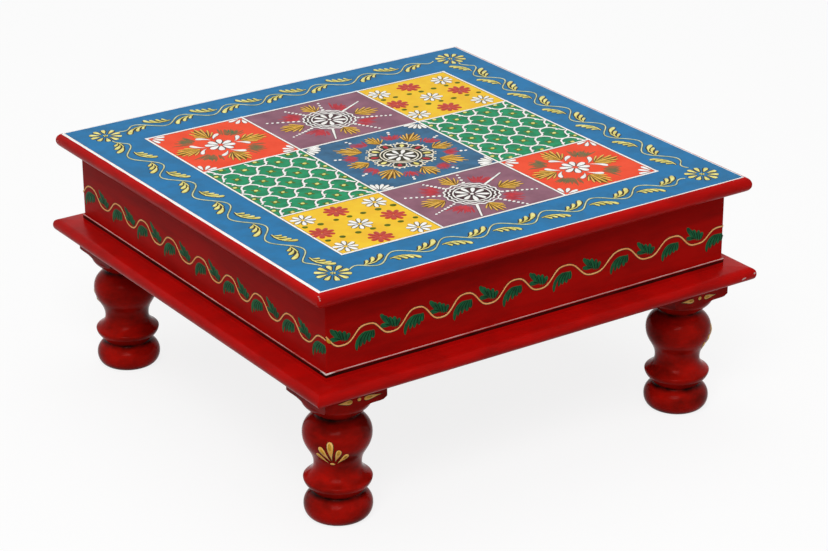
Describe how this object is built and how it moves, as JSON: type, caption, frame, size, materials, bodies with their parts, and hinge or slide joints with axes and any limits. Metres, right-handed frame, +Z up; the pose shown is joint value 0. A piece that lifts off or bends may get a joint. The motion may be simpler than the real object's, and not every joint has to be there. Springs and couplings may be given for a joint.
{
  "type": "pooja stool",
  "caption": "Low square prayer stool of painted wood: nosed top board on a mitred apron box, nosed base frame and turned legs with square heads.",
  "frame": {"origin": "on the floor under the middle of the stool", "axes": "+Z up, square to the top board; -Y towards the front, +X to the right, both along the sides of the square"},
  "size_m": [0.305, 0.305, 0.1487],
  "materials": {
    "edge_red": "gloss enamel paint over wood, worn at the corners",
    "apron_red": "semi-gloss dark red enamel paint over wood",
    "leg_red": "gloss red enamel with dark glaze left in the grooves",
    "bare_wood": "sawn and planed, unfinished",
    "screw_steel": "zinc plated",
    "ground_blue": "satin enamel paint",
    "ground_yellow": "satin enamel paint",
    "ground_orange": "satin enamel paint",
    "ground_mauve": "satin enamel paint",
    "ground_green": "satin enamel paint",
    "relief_white": "raised paint drawn with a cone",
    "relief_gold": "raised pale gold paint drawn with a cone",
    "relief_ochre": "raised ochre paint drawn with a cone",
    "relief_brick": "raised brick red paint",
    "relief_olive": "olive green paint",
    "relief_crimson": "raised crimson paint",
    "relief_green": "brushed dark green paint",
    "relief_peach": "line of peach paint drawn with a cone",
    "relief_umber": "dark glaze round the raised paint and in the joints"
  },
  "bodies": {
    "root": {"top_board": "edge_red", "apron_front": "apron_red", "apron_right": "apron_red", "apron_back": "apron_red", "apron_left": "apron_red", "base_rail_front": "edge_red", "base_rail_right": "edge_red", "base_rail_back": "edge_red", "base_rail_left": "edge_red", "leg_front_left": "leg_red", "leg_front_right": "leg_red", "leg_back_left": "leg_red", "leg_back_right": "leg_red", "corner_block_front_left": "bare_wood", "corner_block_front_right": "bare_wood", "corner_block_back_left": "bare_wood", "corner_block_back_right": "bare_wood", "top_screw_front_left": "screw_steel", "top_screw_front_right": "screw_steel", "top_screw_back_left": "screw_steel", "top_screw_back_right": "screw_steel", "leg_screw_front_left_1": "screw_steel", "leg_screw_front_left_2": "screw_steel", "leg_screw_front_right_1": "screw_steel", "leg_screw_front_right_2": "screw_steel", "leg_screw_back_left_1": "screw_steel", "leg_screw_back_left_2": "screw_steel", "leg_screw_back_right_1": "screw_steel", "leg_screw_back_right_2": "screw_steel", "base_screw_front_1": "screw_steel", "base_screw_front_2": "screw_steel", "base_screw_right_1": "screw_steel", "base_screw_right_2": "screw_steel", "base_screw_back_1": "screw_steel", "base_screw_back_2": "screw_steel", "base_screw_left_1": "screw_steel", "base_screw_left_2": "screw_steel"}
  },
  "joints": []
}
